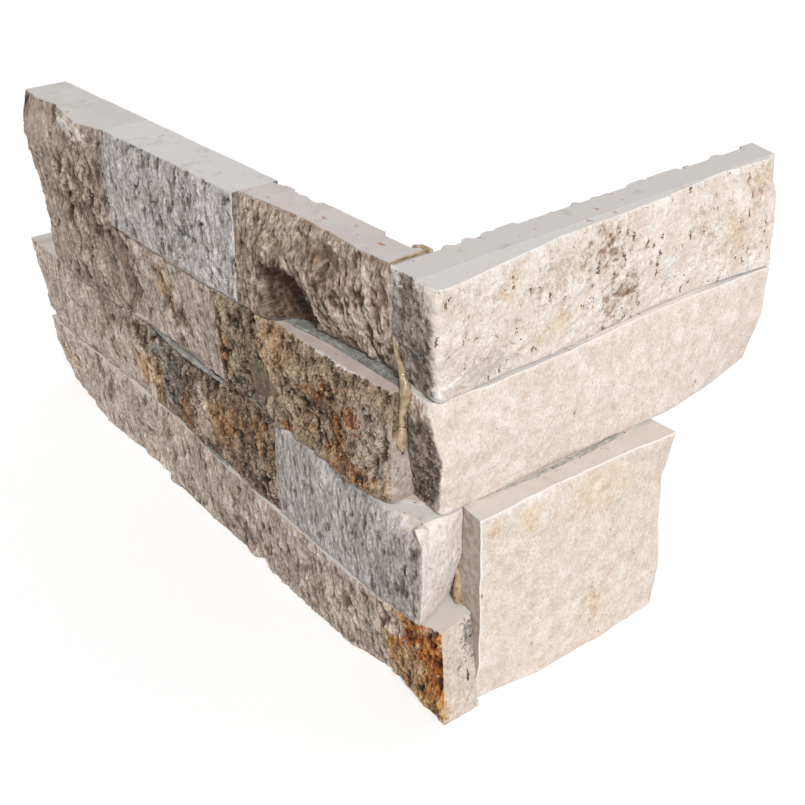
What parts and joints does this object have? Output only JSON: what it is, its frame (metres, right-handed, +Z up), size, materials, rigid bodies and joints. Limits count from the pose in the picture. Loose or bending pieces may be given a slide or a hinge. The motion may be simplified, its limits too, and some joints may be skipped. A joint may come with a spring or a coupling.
{
  "type": "stacked stone corner",
  "caption": "L-shaped outside-corner wall panel of split-face stone strips glued in staggered courses, with flat sawn backs.",
  "frame": {"origin": "the inner corner, where the sawn backs of the two legs meet, at the level of the lowest bed", "axes": "+Z up; the long leg runs along -X and its split face looks along -Y; the return leg runs along +Y and its split face looks along +X"},
  "size_m": [0.314, 0.1642, 0.1524],
  "materials": {
    "stone_brown": "split travertine, brown and pitted, sawn back and beds",
    "stone_grey": "split travertine, cool light grey, sawn back and beds",
    "stone_beige": "split travertine, warm beige, sawn back and beds",
    "stone_rust": "split travertine, rust stained and open pored, sawn back and beds",
    "stone_cream": "split travertine, cream, sawn back and beds",
    "adhesive_grey": "cured blue-grey stone adhesive, matt",
    "resin_amber": "cured yellowish resin, slightly shiny"
  },
  "bodies": {
    "root": {"top_left_tall_stone": "stone_brown", "top_grey_stone": "stone_grey", "top_hollow_stone": "stone_beige", "top_corner_stone": "stone_cream", "second_left_stone": "stone_beige", "second_rusty_stone": "stone_rust", "second_corner_stone": "stone_cream", "third_left_stone": "stone_beige", "third_rusty_stone": "stone_rust", "third_grey_corner_stone": "stone_grey", "bottom_left_stone": "stone_beige", "bottom_second_stone": "stone_beige", "bottom_third_stone": "stone_beige", "bottom_orange_corner_stone": "stone_rust", "return_tall_stone": "stone_cream", "upper_bed_adhesive": "adhesive_grey", "middle_bed_adhesive": "adhesive_grey", "lower_bed_adhesive": "adhesive_grey", "corner_resin_bead": "resin_amber", "return_resin_lump": "resin_amber", "inner_resin_bead": "resin_amber"}
  },
  "joints": []
}
